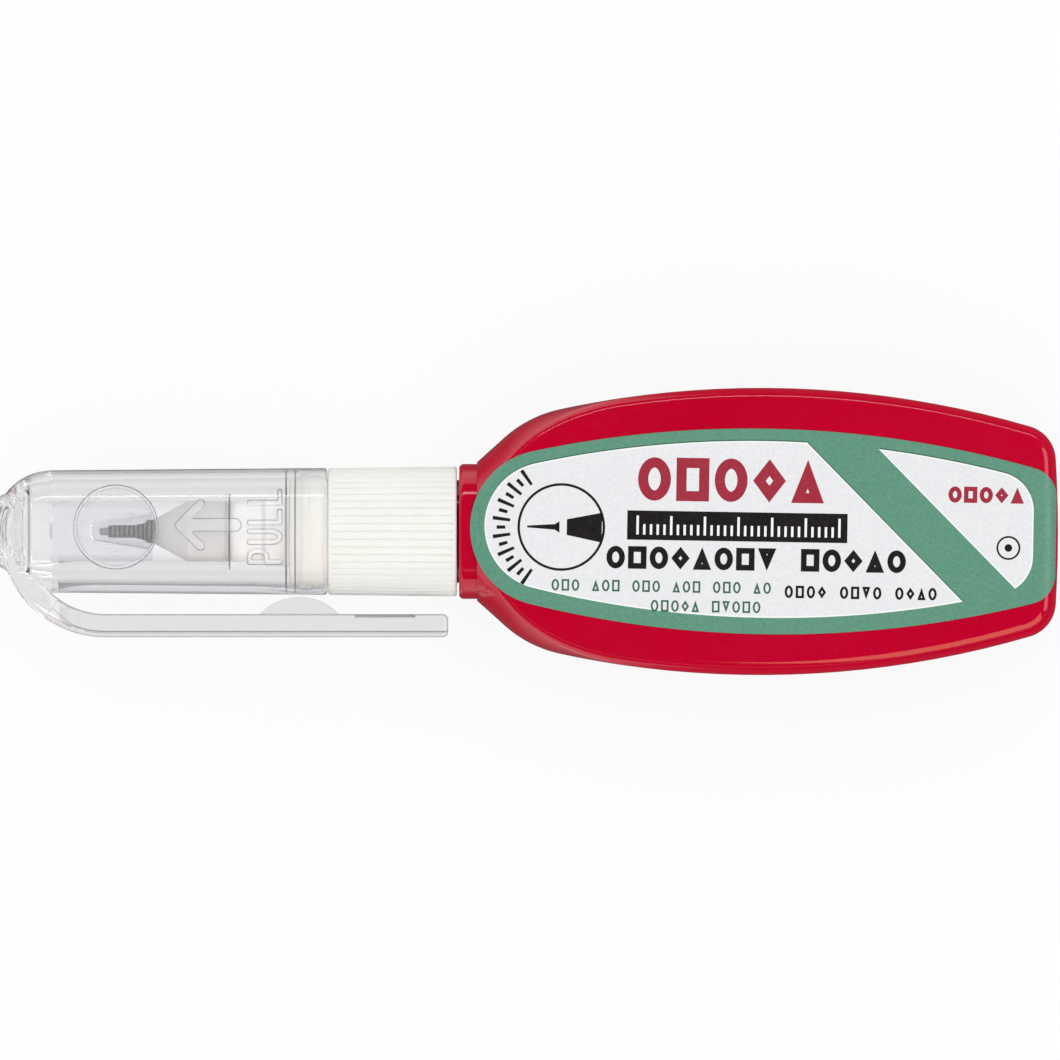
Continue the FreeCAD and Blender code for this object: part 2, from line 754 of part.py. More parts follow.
def pocket_clip():
    """Springy arm of the clip, with its bump and a shallow groove on the inner face."""
    inner_y = clip_thickness - clip_reach
    taper = (cap_mouth_radius - cap_back_radius) / (cap_length - cap_nose_length)
    cap_radius_at_bump = cap_back_radius + taper * (bump_at - cap_nose_length)
    bump_height = -cap_radius_at_bump - bump_gap - inner_y
    bump_place = FreeCAD.Vector(nose_x + bump_at, inner_y + bump_height - bump_radius, -bump_width / 2)
    bump = Part.makeCylinder(bump_radius, bump_width, bump_place)
    arm_place = FreeCAD.Vector(nose_x, inner_y - bury, -outside / 2)
    above_arm = Part.makeBox(outside, outside, outside, arm_place)
    groove_length = clip_groove_end - clip_groove_start
    groove_place = FreeCAD.Vector(nose_x + clip_groove_start, inner_y - clip_groove_depth,
                                  -clip_groove_width / 2)
    groove = Part.makeBox(groove_length, clip_groove_depth + bury, clip_groove_width, groove_place)
    arm = whole_clip().cut(root_wedge(0))
    return arm.fuse(bump.common(above_arm)).cut(groove).removeSplitter()


def cap_sleeve():
    """Clear insert: a disc that closes the nose, and a sleeve that seals on the nozzle."""
    end_x = sleeve_x + sleeve_length
    lip_x = end_x - sleeve_lip_length
    solid = turned([
        (disc_x, 0),
        (disc_x, sleeve_disc_radius),
        (sleeve_x, sleeve_disc_radius),
        (sleeve_x, sleeve_radius),
        (lip_x - sleeve_lip_height, sleeve_radius),
        (lip_x, sleeve_radius + sleeve_lip_height),
        (end_x, sleeve_radius + sleeve_lip_height),
        (end_x, 0),
    ])
    return solid.cut(round_bar(sleeve_x, end_x + bury, sleeve_bore_radius))


def tip_plug():
    """Soft plug in the sleeve, hollowed to take the metal tip."""
    end_x = plug_x + plug_length
    radius = sleeve_bore_radius - seat_fit
    dome_radius = (radius ** 2 + plug_dome ** 2) / (2 * plug_dome)
    rim = (plug_x + plug_dome, radius)
    dome_middle = arc_middle((plug_x + dome_radius, 0), dome_radius, (plug_x, 0), rim)
    solid = turned([(plug_x, 0), (dome_middle, rim), (end_x, radius), (end_x, 0)])
    cavity_x = end_x - plug_cavity_length + plug_cavity_radius
    round_middle = arc_middle((cavity_x, 0), plug_cavity_radius,
                              (cavity_x - plug_cavity_radius, 0), (cavity_x, plug_cavity_radius))
    cavity = turned([
        (cavity_x - plug_cavity_radius, 0),
        (round_middle, (cavity_x, plug_cavity_radius)),
        (end_x + bury, plug_mouth_radius),
        (end_x + bury, 0),
    ])
    return solid.cut(cavity)


def build():
    parts = {
        "bottle": bottle(),
        "front_label": label(1, front_label_turn),
        "back_label": label(-1, back_label_turn),
        "mixing_ball": mixing_ball(),
        "neck_gasket": neck_gasket(),
        "grip_collar": grip_collar(),
        "nozzle": nozzle(),
        "tip_ferrule": tip_ferrule(),
        "tip_pipe": tip_pipe(),
        "valve_needle": valve_needle(),
        "needle_plunger": needle_plunger(),
        "valve_spring": valve_spring(),
        "spring_retainer": spring_retainer(),
        "cap_shell": cap_shell(),
        "cap_sleeve": cap_sleeve(),
        "tip_plug": tip_plug(),
        "pocket_clip": pocket_clip(),
    }
    os.makedirs("parts", exist_ok=True)
    for name, shape in parts.items():
        shape.translate(FreeCAD.Vector(0, 0, axis_z))
        shape.exportStep("parts/" + name + ".step")
        print(name, len(shape.Solids), "solid", shape.isValid(), round(shape.Volume, 3), "mm3")


build()
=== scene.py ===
import math
import bpy
import numpy as np
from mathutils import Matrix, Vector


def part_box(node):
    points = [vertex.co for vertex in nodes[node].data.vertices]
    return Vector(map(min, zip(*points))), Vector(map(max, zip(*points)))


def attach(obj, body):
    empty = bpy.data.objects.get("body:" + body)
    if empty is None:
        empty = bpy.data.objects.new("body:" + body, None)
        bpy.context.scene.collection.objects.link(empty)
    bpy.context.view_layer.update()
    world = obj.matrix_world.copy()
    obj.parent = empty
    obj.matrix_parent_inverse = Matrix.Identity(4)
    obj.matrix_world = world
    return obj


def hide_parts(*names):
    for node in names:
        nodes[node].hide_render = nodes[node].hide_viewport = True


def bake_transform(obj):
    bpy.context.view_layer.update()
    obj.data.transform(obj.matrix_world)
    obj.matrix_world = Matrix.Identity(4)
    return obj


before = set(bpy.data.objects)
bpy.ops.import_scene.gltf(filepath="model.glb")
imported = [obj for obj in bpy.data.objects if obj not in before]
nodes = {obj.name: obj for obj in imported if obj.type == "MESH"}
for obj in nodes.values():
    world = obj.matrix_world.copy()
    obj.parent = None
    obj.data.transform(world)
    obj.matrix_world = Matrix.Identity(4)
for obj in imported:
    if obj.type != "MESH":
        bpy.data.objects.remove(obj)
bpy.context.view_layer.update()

# Correction pen: red squeeze bottle, printed labels, ribbed collar, metal tip, clear cap.
# Lengths in the dictionaries are millimetres. The scene itself is in metres.
mm = 0.001
collarLow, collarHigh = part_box("grip_collar")
capLow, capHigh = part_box("cap_shell")
sleeveLow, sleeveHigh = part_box("cap_sleeve")
axisZ = (collarLow[2] + collarHigh[2]) / 2 / mm      # height of the pen's axis
noseX = capLow[0] / mm
mouthX = capHigh[0] / mm
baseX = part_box("bottle")[1][0] / mm

view = {
    "distance": 3000.0,      # far off, so the pen is seen almost without perspective
    "frameWidth": 115.33,    # what the square picture spans at the pen's axis
    "centre": (0.16, 0.16),
    "sensor": 36.0,
    "clip": (0.1, 50.0),     # metres
}


def setCamera():
    data = bpy.data.cameras.new("camera")
    data.sensor_width = view["sensor"]
    data.lens = view["sensor"] * (view["distance"] - axisZ) / view["frameWidth"]
    data.clip_start, data.clip_end = view["clip"]
    camera = bpy.data.objects.new("camera", data)
    camera.location = [value * mm for value in (*view["centre"], view["distance"])]
    bpy.context.collection.objects.link(camera)
    bpy.context.scene.camera = camera


# Sets a shader input to a value, or links it to another node's output.
def setInput(tree, socket, value):
    if isinstance(value, bpy.types.NodeSocket):
        tree.links.new(value, socket)
    else:
        socket.default_value = value


# A node with its properties and its inputs set by name.
def addNode(tree, kind, **values):
    node = tree.nodes.new(kind)
    for name, value in values.items():
        if name in node.inputs:
            setInput(tree, node.inputs[name], value)
        else:
            setattr(node, name, value)
    return node


def mathNode(tree, operation, first, second=0.0, clamp=False):
    node = addNode(tree, "ShaderNodeMath", operation=operation, use_clamp=clamp)
    setInput(tree, node.inputs[0], first)
    setInput(tree, node.inputs[1], second)
    return node.outputs[0]


# Stretches a value from one range to another.
def mapRange(tree, value, fromMin, fromMax, toMin=0.0, toMax=1.0, **extra):
    node = addNode(tree, "ShaderNodeMapRange", Value=value, **extra)
    limits = {"From Min": fromMin, "From Max": fromMax, "To Min": toMin, "To Max": toMax}
    for name, limit in limits.items():
        setInput(tree, node.inputs[name], limit)
    return node.outputs[0]


def mixColors(tree, share, first, second):
    mix = addNode(tree, "ShaderNodeMix", data_type="RGBA")
    setInput(tree, mix.inputs[0], share)
    setInput(tree, mix.inputs[6], first)
    setInput(tree, mix.inputs[7], second)
    return mix.outputs[2]


def mixShaders(tree, share, first, second):
    mix = tree.nodes.new("ShaderNodeMixShader")
    for socket, value in zip(mix.inputs, (share, first, second)):
        setInput(tree, socket, value)
    return mix.outputs[0]


# Material with one Principled shader, whose inputs are set by name.
def newMaterial(name, **values):
    material = bpy.data.materials.new(name)
    material.use_nodes = True
    tree = material.node_tree
    tree.nodes.clear()
    shader = tree.nodes.new("ShaderNodeBsdfPrincipled")
    output = tree.nodes.new("ShaderNodeOutputMaterial")
    tree.links.new(shader.outputs[0], output.inputs[0])
    for key, value in values.items():
        shader.inputs[key.replace("_", " ")].default_value = value
    return material, tree, shader


def objectPoint(tree):
    return tree.nodes.new("ShaderNodeTexCoord").outputs["Object"]


def newGroup(name, inputs, outputs):
    group = bpy.data.node_groups.new(name, "ShaderNodeTree")
    for sockets, side in ((inputs, "INPUT"), (outputs, "OUTPUT")):
        for socket, kind in sockets.items():
            group.interface.new_socket(socket, in_out=side, socket_type="NodeSocket" + kind)
    given = group.nodes.new("NodeGroupInput").outputs
    result = group.nodes.new("NodeGroupOutput").inputs
    return group, given, result


noise = {
    "broadScale": 0.08,              # broad noise's scale as a share of the fine one's
    "grainSpan": (0.14, 0.36),       # what fine times broad mostly runs between
    "speckleSpan": (0.35, 0.65),
}


# Moulded surface: a fine noise times a broad one goes to a roughness between two values.
# The fine noise alone is the height for bumps.
def makeGrainGroup():
    group, given, result = newGroup(
        "surfaceGrain",
        {"Point": "Vector", "Scale": "Float", "Smooth": "Float", "Rough": "Float"},
        {"Roughness": "Float", "Height": "Float"})
    fine = addNode(group, "ShaderNodeTexNoise", Vector=given["Point"], Scale=given["Scale"],
                   Detail=4)
    wide = mathNode(group, "MULTIPLY", given["Scale"], noise["broadScale"])
    broad = addNode(group, "ShaderNodeTexNoise", Vector=given["Point"], Scale=wide, Detail=3)
    both = mathNode(group, "MULTIPLY", fine.outputs[0], broad.outputs[0])
    gloss = mapRange(group, both, *noise["grainSpan"], given["Smooth"], given["Rough"])
    setInput(group, result["Roughness"], gloss)
    setInput(group, result["Height"], fine.outputs[0])
    return group


# Two close colours mixed by a sharpened noise, as ink and pigment vary.
def makeSpeckleGroup():
    group, given, result = newGroup(
        "speckle",
        {"Point": "Vector", "Scale": "Float", "First": "Color", "Second": "Color"},
        {"Color": "Color"})
    spots = addNode(group, "ShaderNodeTexNoise", Vector=given["Point"], Scale=given["Scale"],
                    Detail=6, Roughness=0.7)
    share = mapRange(group, spots.outputs[0], *noise["speckleSpan"])
    setInput(group, result["Color"], mixColors(group, share, given["First"], given["Second"]))
    return group


# 1 where a distance is within Half of Place, falling to 0 over Soft.
def makeLineGroup():
    group, given, result = newGroup(
        "lineMask",
        {"Distance": "Float", "Place": "Float", "Half": "Float", "Soft": "Float"},
        {"Mask": "Float"})
    away = mathNode(group, "SUBTRACT", given["Distance"], given["Place"])
    outer = mathNode(group, "ADD", given["Half"], given["Soft"])
    mask = mapRange(group, mathNode(group, "ABSOLUTE", away), given["Half"], outer, 1.0, 0.0)
    setInput(group, result["Mask"], mask)
    return group


def placeGroup(tree, group, **values):
    node = tree.nodes.new("ShaderNodeGroup")
    node.node_tree = group
    for name, value in values.items():
        setInput(tree, node.inputs[name], value)
    return node


grainGroup = makeGrainGroup()
speckleGroup = makeSpeckleGroup()
lineGroup = makeLineGroup()


# Feeds a shader's roughness and bump from the grain group.
def addGrain(tree, shader, point, look):
    grain = placeGroup(tree, grainGroup, Point=point, Scale=look["grainScale"],
                       Smooth=look["smooth"], Rough=look["rough"])
    setInput(tree, shader.inputs["Roughness"], grain.outputs["Roughness"])
    bump = addNode(tree, "ShaderNodeBump", Height=grain.outputs["Height"])
    bump.inputs["Strength"].default_value = look["bumpStrength"]
    bump.inputs["Distance"].default_value = look["bumpHeight"] * mm
    setInput(tree, shader.inputs["Normal"], bump.outputs[0])


paper = {"speckleScale": 2600, "grainScale": 5200, "smooth": 0.34, "rough": 0.5,
         "bumpStrength": 0.16, "bumpHeight": 0.006}
moulded = {"speckleScale": 300, "grainScale": 3000, "smooth": 0.3, "rough": 0.45,
           "bumpStrength": 0.2, "bumpHeight": 0.008}
finishes = {
    "red_plastic": {"first": (0.50, 0.0004, 0.021), "second": (0.535, 0.0006, 0.026),
                    "speckleScale": 60, "grainScale": 900, "smooth": 0.05, "rough": 0.10,
                    "bumpStrength": 0.12, "bumpHeight": 0.01},
    "label_green": {"first": (0.088, 0.285, 0.180), "second": (0.122, 0.340, 0.240), **paper},
    "label_dark": {"first": (0.035, 0.13, 0.08), "second": (0.05, 0.17, 0.11), **paper},
    "label_white": {"first": (0.77, 0.765, 0.80), "second": (0.83, 0.845, 0.855), **paper},
    "label_bright": {"first": (0.90, 0.93, 0.92), "second": (0.93, 0.95, 0.94), **paper},
    "ink_black": {"first": (0.008, 0.008, 0.009), "second": (0.016, 0.016, 0.018), **paper},
    "ink_red": {"first": (0.37, 0.006, 0.030), "second": (0.43, 0.010, 0.042), **paper},
    "collar_ivory": {"first": (0.88, 0.885, 0.84), "second": (0.91, 0.915, 0.875), **moulded},
    "nozzle_white": {"first": (0.93, 0.935, 0.935), "second": (0.96, 0.96, 0.96), **moulded},
    "gasket_rubber": {"first": (0.03, 0.03, 0.032), "second": (0.05, 0.05, 0.052),
                      "speckleScale": 900, "grainScale": 2600, "smooth": 0.6, "rough": 0.8,
                      "bumpStrength": 0.4, "bumpHeight": 0.02},
}


# Opaque plastic, paper or ink: speckled colour, grained gloss and height.
def opaqueFinish(name, **extra):
    look = finishes[name]
    material, tree, shader = newMaterial(name, **extra)
    point = objectPoint(tree)
    tint = placeGroup(tree, speckleGroup, Point=point, Scale=look["speckleScale"],
                      First=look["first"] + (1,), Second=look["second"] + (1,))
    setInput(tree, shader.inputs["Base Color"], tint.outputs["Color"])
    addGrain(tree, shader, point, look)
    return material


mouldGloss = {"grainScale": 500, "smooth": 0.0, "rough": 0.03,
              "bumpStrength": 0.08, "bumpHeight": 0.01}
# Tint of a face seen straight on, and the painted shade of an edge turned away, with how far away
# the shade runs from and to. Painted shade lines lie where the wall steps: at x, or for the clip at
# a depth below its outer face.
clear = {
    "cap": {"face": (0.992, 0.993, 0.996, 1), "edge": (0.24, 0.24, 0.27, 1),
            "from": 0.55, "to": 1.0, "IOR": 1.49,
            "lineShade": (0.42, 0.42, 0.45, 1), "lineHalf": 0.055, "shadeLines": (-26.35, -25.35),
            **mouldGloss},
    "clip": {"face": (0.985, 0.987, 0.992, 1), "edge": (0.16, 0.16, 0.18, 1),
             "from": 0.10, "to": 0.85, "IOR": 1.49,
             "lineShade": (0.42, 0.42, 0.45, 1), "lineHalf": 0.05, "shadeLines": (0.04, 0.62, 2.46),
             **mouldGloss},
    "relief": {"face": (0.992, 0.993, 0.996, 1), "edge": (0.18, 0.18, 0.21, 1),
               "from": 0.06, "to": 0.55, "IOR": 1.49, **mouldGloss},
    "sleeve": {"face": (0.99, 0.991, 0.994, 1), "edge": (0.6, 0.6, 0.63, 1),
               "from": 0.6, "to": 1.0, "IOR": 1.36,
               "lineShade": (0.30, 0.30, 0.32, 1), "lineHalf": 0.10,
               "shadeLines": (sleeveLow[0] / mm + 0.55, sleeveHigh[0] / mm - 0.05), **mouldGloss},
    "plug": {"face": (0.84, 0.84, 0.86, 1), "edge": (0.5, 0.5, 0.53, 1),
             "from": 0.3, "to": 0.95, "IOR": 1.41,
             "grainScale": 260, "smooth": 0.0, "rough": 0.04,
             "bumpStrength": 0.05, "bumpHeight": 0.01},
}
clipBend = {"centre": noseX + 11.5, "radius": 11.5}      # outer face of the clip's bend


# Distance that a clear piece's painted shade lines are placed by: x itself, or for the clip the
# depth below its outer face, radius - |(min(x - centre, 0), y)|.
def lineDistance(tree, name, point):
    split = addNode(tree, "ShaderNodeSeparateXYZ", Vector=point)
    if name != "clip":
        return split.outputs["X"]
    ahead = mathNode(tree, "SUBTRACT", split.outputs["X"], clipBend["centre"] * mm)
    bend = mathNode(tree, "MINIMUM", ahead, 0.0)
    plan = addNode(tree, "ShaderNodeCombineXYZ", X=bend, Y=split.outputs["Y"])
    length = addNode(tree, "ShaderNodeVectorMath", operation="LENGTH")
    setInput(tree, length.inputs[0], plan.outputs[0])
    return mathNode(tree, "SUBTRACT", clipBend["radius"] * mm, length.outputs["Value"])


# See-through moulding. Its tint is painted darker where the surface turns away, a painted shade for
# dark rims, and along painted shade lines where its wall steps.
def clearFinish(name):
    look = clear[name]
    material, tree, shader = newMaterial(
        "clear_" + name, IOR=look["IOR"], Transmission_Weight=1.0)
    point = objectPoint(tree)
    turn = addNode(tree, "ShaderNodeLayerWeight", Blend=0.5)
    share = mapRange(tree, turn.outputs["Facing"], look["from"], look["to"])
    # painted shade: the colour runs to the edge shade where the surface turns away
    tint = mixColors(tree, share, look["face"], look["edge"])
    for place in look.get("shadeLines", ()):
        mask = placeGroup(tree, lineGroup, Distance=lineDistance(tree, name, point),
                          Place=place * mm, Half=look["lineHalf"] * mm,
                          Soft=look["lineHalf"] * mm)
        # painted shade: each line darkens the tint toward the line shade colour
        tint = mixColors(tree, mask.outputs[0], tint, look["lineShade"])
    setInput(tree, shader.inputs["Base Color"], tint)
    addGrain(tree, shader, point, look)
    return material


# Groove colours are painted shade in the turned grooves; the tip's low ridge colour is also painted
# shade, darkened to stand in for dark reflections.
metals = {
    "tip_metal": {"ridge": (0.20, 0.195, 0.19, 1), "groove": (0.004, 0.004, 0.005, 1),
                  "pitch": 0.50, "smooth": 0.28, "rough": 0.46},
    "needle_steel": {"ridge": (0.40, 0.395, 0.39, 1), "groove": (0.12, 0.12, 0.12, 1),
                     "pitch": 0.20, "smooth": 0.22, "rough": 0.40},
    "bright_steel": {"ridge": (0.74, 0.74, 0.75, 1), "groove": (0.60, 0.60, 0.61, 1),
                     "pitch": 0.3, "smooth": 0.10, "rough": 0.22},
}
turning = {
    "grainScale": 4200, "bumpStrength": 0.5, "bumpHeight": 0.012,
    "bandShare": 20,         # a wave texture of scale s has a band each 2 pi / (20 s)
}


# Lathe-turned metal: rings across the axis give its height and its colour, a painted shade that
# darkens the grooves; grain gives the gloss.
def turnedMetal(name):
    look = metals[name]
    material, tree, shader = newMaterial(name, Metallic=1.0)
    point = objectPoint(tree)
    scale = 1 / (look["pitch"] * mm * turning["bandShare"]) * 2 * math.pi
    rings = addNode(tree, "ShaderNodeTexWave", wave_type="BANDS", bands_direction="X",
                    Vector=point, Scale=scale, Distortion=1.5, Detail=3).outputs["Fac"]
    setInput(tree, shader.inputs["Base Color"],
             mixColors(tree, rings, look["groove"], look["ridge"]))
    grain = placeGroup(tree, grainGroup, Point=point, Scale=turning["grainScale"],
                       Smooth=look["smooth"], Rough=look["rough"])
    setInput(tree, shader.inputs["Roughness"], grain.outputs["Roughness"])
    bump = addNode(tree, "ShaderNodeBump", Strength=turning["bumpStrength"], Height=rings)
    bump.inputs["Distance"].default_value = turning["bumpHeight"] * mm
    setInput(tree, shader.inputs["Normal"], bump.outputs[0])
    return material


milky = {"Subsurface_Weight": 0.6, "Subsurface_Scale": 0.9 * mm,
         "Subsurface_Radius": (1, 1, 0.9)}
materials = {name: opaqueFinish(name, **(milky if name == "collar_ivory" else {}))
             for name in finishes}
materials.update({"clear_" + name: clearFinish(name) for name in clear})
materials.update({name: turnedMetal(name) for name in metals})
print("materials made:", len(materials))

nodeFinishes = {
    "bottle": "red_plastic",
    "grip_collar": "collar_ivory",
    "nozzle": "nozzle_white",
    "neck_gasket": "gasket_rubber",
    "needle_plunger": "nozzle_white",
    "spring_retainer": "nozzle_white",
    "tip_ferrule": "tip_metal",
    "tip_pipe": "tip_metal",
    "valve_needle": "needle_steel",
    "mixing_ball": "bright_steel",
    "cap_shell": "clear_cap",
    "pocket_clip": "clear_clip",
    "tip_plug": "clear_plug",
}


def dressNodes():
    for name, finish in nodeFinishes.items():
        mesh = nodes[name].data
        mesh.materials.clear()
        mesh.materials.append(materials[finish])


# Grid between two edges with the same number of points: a straight mix of one into the other.
def band(upper, lower, rows=2):
    share = np.linspace(0, 1, rows)[None, :, None]
    return np.asarray(upper)[:, None, :] * (1 - share) + np.asarray(lower)[:, None, :] * share


def rectangle(x0, x1, y0, y1):
    return band([(x0, y1), (x1, y1)], [(x0, y0), (x1, y0)])


# Band between two arcs about one centre. Angles are in degrees from +X.
def ringBand(centre, radius, width, start=0.0, end=360.0, steps=96):
    angle = np.radians(np.linspace(start, end, steps))
    around = np.stack([np.cos(angle), np.sin(angle)], 1)
    middle = np.array(centre, float)
    return band(middle + around * (radius + width / 2), middle + around * (radius - width / 2))


# Outline of a regular figure as a band. Each inner corner is the outer one moved in along its two
# sides' inward normals, so that the stroke is even.
def figureBand(centre, halfWidth, halfHeight, sides, turn, stroke):
    angle = np.radians(turn + np.arange(sides) * 360 / sides)
    around = np.stack([np.cos(angle), np.sin(angle)], 1)
    low, high = around.min(axis=0), around.max(axis=0)
    size = 2 * np.array((halfWidth, halfHeight))
    outer = (around - (low + high) / 2) / (high - low) * size + centre
    run = np.roll(outer, -1, axis=0) - outer
    run /= np.linalg.norm(run, axis=1)[:, None]
    after = np.stack([-run[:, 1], run[:, 0]], 1)
    before = np.roll(after, 1, axis=0)
    inner = outer + stroke * (before + after) / (1 + np.sum(before * after, axis=1))[:, None]
    return band(np.vstack([outer, outer[:1]]), np.vstack([inner, inner[:1]]))


# Quads between neighbours of a grid of point numbers.
def gridQuads(index):
    corners = [index[:-1, :-1], index[1:, :-1], index[1:, 1:], index[:-1, 1:]]
    return np.stack(corners, -1).reshape(-1, 4)


# Quads of rows of points that each close into a ring.
def ringQuads(rows, columns):
    index = np.arange(rows * columns).reshape(rows, columns)
    after = np.roll(index, -1, axis=1)
    return np.stack([index[:-1], after[:-1], after[1:], index[1:]], -1).reshape(-1, 4)


# One mesh of several grids of plan points. Every grid's faces are turned to look up.
def meshFromGrids(name, grids):
    points, faces, start = [], [], 0
    for grid in grids:
        rows, columns = grid.shape[:2]
        first = grid[1:, :-1] - grid[:-1, :-1]
        second = grid[:-1, 1:] - grid[:-1, :-1]
        turn = np.sum(first[..., 0] * second[..., 1] - first[..., 1] * second[..., 0])
        quads = gridQuads(start + np.arange(rows * columns).reshape(rows, columns))
        faces.append(quads if turn > 0 else quads[:, ::-1])
        points.append(grid.reshape(-1, 2))
        start += rows * columns
    plan = np.concatenate(points) * mm
    corners = np.concatenate([plan, np.zeros((len(plan), 1))], 1)
    return newPiece(name, corners, np.concatenate(faces))


def newPiece(name, corners, faces):
    mesh = bpy.data.meshes.new(name)
    mesh.from_pydata(corners.tolist(), [], faces.tolist())
    piece = bpy.data.objects.new(name, mesh)
    bpy.context.collection.objects.link(piece)
    return piece


# Replaces the mesh by what its modifiers make of it.
def applyModifiers(piece):
    bpy.context.view_layer.update()
    shape = piece.evaluated_get(bpy.context.evaluated_depsgraph_get())
    made = bpy.data.meshes.new_from_object(shape)
    piece.modifiers.clear()
    old = piece.data
    piece.data = made
    name = old.name
    bpy.data.meshes.remove(old)
    made.name = name


finishing = {"weldGap": 0.0005, "creaseAngle": 35}      # millimetres, degrees


def addWeld(piece):
    piece.modifiers.new("weld", "WELD").merge_threshold = finishing["weldGap"] * mm


# Gives a sheet its thickness below its top face.
def makeWall(piece, thickness):
    wall = piece.modifiers.new("wall", "SOLIDIFY")
    wall.thickness = thickness * mm
    wall.offset = -1
    applyModifiers(piece)


def smoothWithCreases(piece):
    piece.data.shade_smooth()
    piece.data.set_sharp_from_angle(angle=math.radians(finishing["creaseAngle"]))


def readPoints(piece):
    points = np.empty(len(piece.data.vertices) * 3, np.float32)
    piece.data.vertices.foreach_get("co", points)
    return points.reshape(-1, 3)


def writePoints(piece, points):
    flat = np.ascontiguousarray(points, np.float32).ravel()
    piece.data.vertices.foreach_set("co", flat)
    piece.data.update()


label = {
    "endGap": 0.25, "length": 63.6, "halfWidth": 11.15, "sideRadius": 113.5, "widestFromEnd": 31.6,
    "cornerRadius": 3.2, "turn": -0.95,
    "flangeRadius": 7.34, "stepX": -5.5, "bridgeSlope": 0.48,
    "sheetLift": 0.070, "sheetGap": 0.002, "layerLift": 0.009, "layerDepth": 0.0117,
    "panelInset": 1.72, "panelShift": 0.22, "panelEnd": 2.62, "panelCornerRadius": 4.2,
    "brightEdge": 0.16,      # unprinted margin round each pale panel
    "shadowShift": (0.02, 0.13),
    "stripeLeft": (36.2, 3.43), "stripeRight": (43.85, 3.43),   # points on its two edges
    "stripeSlope": 0.99,     # rise for each millimetre toward the nose
    "stripeGrow": 1.41,      # how far a 45 degree edge rises for each millimetre it moves out
    "start": 0.05,           # metres: height that each layer drops on the bottle from
    "sheetPoints": (150, 40), "searchPoints": 600,
    "mainPoints": (70, 30, 14),      # up to the slant, along it, across
    "endPoints": (36, 14, 12),       # along the slant, behind it, across
}
label["endX"] = baseX - label["endGap"]
label["frontX"] = label["endX"] - label["length"]
label["widestX"] = label["endX"] - label["widestFromEnd"]


# Lays a plan shape on the bottle along Z, lifts it, and gives it a thickness below its top face.
# side is 1 for a shape that lies on top, and -1 for one underneath.
def layOnBottle(piece, side, lift, thickness):
    points = readPoints(piece)
    points[:, 2] = label["start"] * side
    writePoints(piece, points)
    if side < 0:
        piece.data.flip_normals()
    addWeld(piece)
    drop = piece.modifiers.new("drop", "SHRINKWRAP")
    drop.wrap_method = "PROJECT"
    drop.use_project_z = True
    drop.use_negative_direction = side > 0
    drop.use_positive_direction = side < 0
    drop.target = nodes["bottle"]
    applyModifiers(piece)
    points = readPoints(piece)
    x, y = points[:, 0] / mm, points[:, 1] / mm
    # ahead of the shoulder's foot the paper spans the step: a circle that widens along x
    radius = label["flangeRadius"] + (x - label["frontX"]) * label["bridgeSlope"]
    bridge = np.sqrt(np.maximum(radius ** 2 - y ** 2, 0))
    height = side * (points[:, 2] / mm - axisZ)
    height = np.where(x < label["stepX"], np.maximum(height, bridge), height) + lift
    points[:, 2] = (axisZ + side * height) * mm
    writePoints(piece, points)
    makeWall(piece, thickness)
    smoothWithCreases(piece)


# Half width of the label's plan at x, moved in by inset: front circle, long arc, corner arc.
def labelEdge(x, inset, endX, cornerRadius):
    sideRadius = label["sideRadius"] - inset
    sink = label["sideRadius"] - label["halfWidth"]
    reach = label["length"] - label["widestFromEnd"]
    fullFront = (label["sideRadius"] ** 2 - sink ** 2 - reach ** 2) / (
        2 * (label["sideRadius"] - reach))
    frontRadius = fullFront - inset
    frontCentre = label["frontX"] + fullFront
    widest = label["widestX"]
    side = np.sqrt(sideRadius ** 2 - (x - widest) ** 2) - sink
    front = np.sqrt(np.maximum(frontRadius ** 2 - (x - frontCentre) ** 2, 0))
    tangentX = widest + (frontCentre - widest) * sideRadius / (label["sideRadius"] - fullFront)
    width = np.where(x < tangentX, front, side)
    cornerX = endX - cornerRadius
    span = sideRadius - cornerRadius
    cornerY = math.sqrt(span ** 2 - (cornerX - widest) ** 2) - sink
    corner = cornerY + np.sqrt(np.maximum(cornerRadius ** 2 - (x - cornerX) ** 2, 0))
    cornerStart = widest + (cornerX - widest) * sideRadius / span
    return np.where(x > cornerStart, corner, width)


# Points between two values, closer together at both ends: half a cosine wave.
def easedSteps(start, end, count):
    return start + (end - start) * (1 - np.cos(np.linspace(0, math.pi, count))) / 2


# Grid that fills a shape whose top and bottom edges are heights over the same x.
def fillBetween(x, upper, lower, rows):
    return band(np.stack([x, upper], 1), np.stack([x, lower], 1), rows)


# Upper and lower edge of the pale field inside the green border.
def panelEdges(x, grow):
    inset = label["panelInset"] - grow
    half = labelEdge(x, inset, label["endX"] - label["panelEnd"] + grow, label["panelCornerRadius"])
    return half + label["panelShift"], -half + label["panelShift"]


# Height of a stripe edge over x: a straight line through a point, moved up by grow.
def stripeLine(x, through, grow):
    return through[1] - (x - through[0]) * label["stripeSlope"] + grow


# Pale field before the stripe: its top edge drops along the stripe to a point.
def mainPanel(grow):
    along, slant, across = label["mainPoints"]
    rise = grow * label["stripeGrow"]
    start = label["frontX"] + label["panelInset"] - grow
    x = easedSteps(start, label["endX"], label["searchPoints"])
    upper, lower = panelEdges(x, grow)
    diagonal = stripeLine(x, label["stripeLeft"], rise)
    meets = np.interp(0, (upper - diagonal), x)
    ends = np.interp(0, (lower - diagonal), x)
    x = np.union1d(easedSteps(start, meets, along), np.linspace(meets, ends, slant))
    upper, lower = panelEdges(x, grow)
    upper = np.maximum(np.minimum(upper, stripeLine(x, label["stripeLeft"], rise)), lower)
    return fillBetween(x, upper, lower, across)


